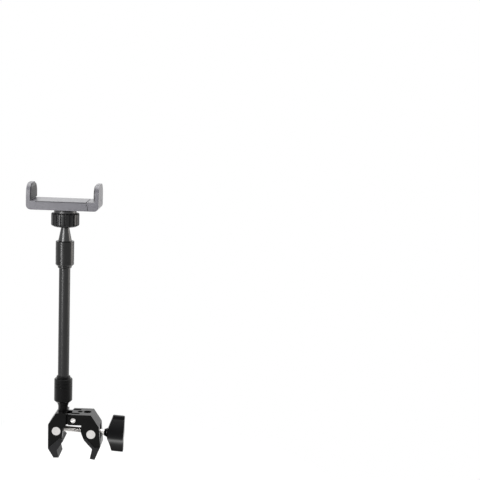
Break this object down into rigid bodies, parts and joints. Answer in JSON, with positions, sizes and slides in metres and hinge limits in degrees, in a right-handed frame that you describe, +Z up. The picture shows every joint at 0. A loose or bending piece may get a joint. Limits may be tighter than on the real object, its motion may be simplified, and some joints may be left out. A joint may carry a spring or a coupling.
{
  "type": "phone holder on a gooseneck arm with a pole clamp",
  "caption": "Spring clip for a phone on a locking ball joint and a bendable gooseneck arm, fixed to a round pole by a screw clamp with a wing knob.",
  "frame": {"origin": "centre of the pole that the clamp grips, midway along the jaws", "axes": "+Z up along the arm, +Y along the pole away from the viewer, +X towards the knob"},
  "size_m": [0.1018, 0.034, 0.284],
  "materials": {
    "die_cast_black": "fine matt powder coat",
    "pad_rubber": "moulded rubber, matt",
    "clip_rubber": "moulded rubber with a fine raised grid",
    "bright_steel": "nickel plated",
    "dark_steel": "black oxide",
    "gloss_plastic_black": "gloss moulding",
    "painted_black": "satin black paint",
    "sleeve_rubber": "smooth satin rubber tube",
    "moulded_black": "moulded nylon",
    "nut_plastic_black": "semi gloss moulding",
    "moulded_grey": "fine textured moulding",
    "brass_insert": "turned",
    "spring_steel": "drawn wire"
  },
  "bodies": {
    "fixed_clamp": {"fixed_jaw": "die_cast_black", "fixed_jaw_pad": "pad_rubber", "hinge_pin": "bright_steel"},
    "moving_clamp": {"moving_jaw": "die_cast_black", "moving_jaw_pad": "pad_rubber"},
    "nut_barrel": {"rod_nut": "bright_steel"},
    "barrel": {"swivel_barrel": "bright_steel"},
    "screw": {"clamp_screw": "bright_steel", "screw_rings": "dark_steel", "knob": "gloss_plastic_black"},
    "arm_base": {"arm_stud": "painted_black", "lower_ferrule": "painted_black", "coil_1": "spring_steel", "arm_sleeve": "sleeve_rubber"},
    "arm_link_1": {"coil_2": "spring_steel"},
    "arm_link_2": {"coil_3": "spring_steel"},
    "arm_link_3": {"coil_4": "spring_steel"},
    "arm_link_4": {"coil_5": "spring_steel"},
    "arm_link_5": {"coil_6": "spring_steel"},
    "arm_top": {"coil_7": "spring_steel", "upper_ferrule": "painted_black", "set_screw": "dark_steel", "ball_stud": "painted_black"},
    "socket": {"ball_socket": "moulded_black"},
    "nut": {"lock_nut": "nut_plastic_black"},
    "clip": {"clip_housing": "moulded_grey", "clip_cover": "moulded_grey", "cover_screws": "dark_steel", "thread_insert": "brass_insert", "end_jaw": "moulded_grey", "end_jaw_pad": "clip_rubber", "end_jaw_screws": "dark_steel", "housing_spring_pin": "spring_steel", "jaw_springs": "spring_steel"},
    "clip_slider": {"sliding_jaw": "moulded_grey", "sliding_jaw_pad": "clip_rubber", "jaw_spring_pin": "spring_steel"}
  },
  "joints": [
    {"name": "jaw_hinge", "type": "hinge", "parent": "fixed_clamp", "child": "moving_clamp", "pos_m": [-0.0033, 0, 0.02375], "axis": [0, 1, 0], "range_deg": [-5.1, 24.1]},
    {"name": "rod_nut_turn", "type": "hinge", "parent": "fixed_clamp", "child": "nut_barrel", "pos_m": [-0.0205, 0, 0.0121], "axis": [0, 1, 0], "range_deg": [-2.8, 13.3]},
    {"name": "barrel_turn", "type": "hinge", "parent": "moving_clamp", "child": "barrel", "pos_m": [0.0152, 0, 0.0097], "axis": [0, 1, 0], "range_deg": [-10.9, 2.4]},
    {"name": "knob_turn", "type": "hinge", "parent": "barrel", "child": "screw", "pos_m": [0.0152, 0, 0.0097], "axis": [-0.9977, 0, 0.0671], "range_deg": [-450, 2160]},
    {"name": "arm_swivel", "type": "hinge", "parent": "fixed_clamp", "child": "arm_base", "pos_m": [-0.0155, 0, 0.031], "axis": [0, 0, 1], "range_deg": [-180, 180]},
    {"name": "bend_1", "type": "hinge", "parent": "arm_base", "child": "arm_link_1", "pos_m": [-0.0155, 0, 0.07763], "axis": [0, 1, 0], "range_deg": [-15, 15], "deforming": ["arm_sleeve"]},
    {"name": "bend_2", "type": "hinge", "parent": "arm_link_1", "child": "arm_link_2", "pos_m": [-0.0155, 0, 0.0963], "axis": [0, 1, 0], "range_deg": [-15, 15]},
    {"name": "bend_3", "type": "hinge", "parent": "arm_link_2", "child": "arm_link_3", "pos_m": [-0.0155, 0, 0.11497], "axis": [0, 1, 0], "range_deg": [-15, 15]},
    {"name": "bend_4", "type": "hinge", "parent": "arm_link_3", "child": "arm_link_4", "pos_m": [-0.0155, 0, 0.13363], "axis": [0, 1, 0], "range_deg": [-15, 15]},
    {"name": "bend_5", "type": "hinge", "parent": "arm_link_4", "child": "arm_link_5", "pos_m": [-0.0155, 0, 0.1523], "axis": [0, 1, 0], "range_deg": [-15, 15]},
    {"name": "bend_6", "type": "hinge", "parent": "arm_link_5", "child": "arm_top", "pos_m": [-0.0155, 0, 0.17097], "axis": [0, 1, 0], "range_deg": [-15, 15]},
    {"name": "ball_tilt", "type": "hinge", "parent": "arm_top", "child": "socket", "pos_m": [-0.0155, 0, 0.2301], "axis": [0, 1, 0], "range_deg": [-25, 25]},
    {"name": "lock_nut_turn", "type": "hinge", "parent": "socket", "child": "nut", "pos_m": [-0.0155, 0, 0.2301], "axis": [0, 0, 1], "range_deg": [0, 300]},
    {"name": "clip_swivel", "type": "hinge", "parent": "socket", "child": "clip", "pos_m": [-0.0155, 0, 0.2411], "axis": [0, 0, 1], "continuous": true},
    {"name": "clip_slide", "type": "slide", "parent": "clip", "child": "clip_slider", "axis": [1, 0, 0], "range_m": [0, 0.03], "stiffness_N_per_m": 120, "springref_m": -0.03, "deforming": ["jaw_springs"]}
  ],
  "couplings": [
    {"joint": "jaw_hinge", "follows": "knob_turn", "ratio": 0.011111},
    {"joint": "rod_nut_turn", "follows": "knob_turn", "ratio": 0.0061},
    {"joint": "barrel_turn", "follows": "knob_turn", "ratio": -0.0050111}
  ]
}
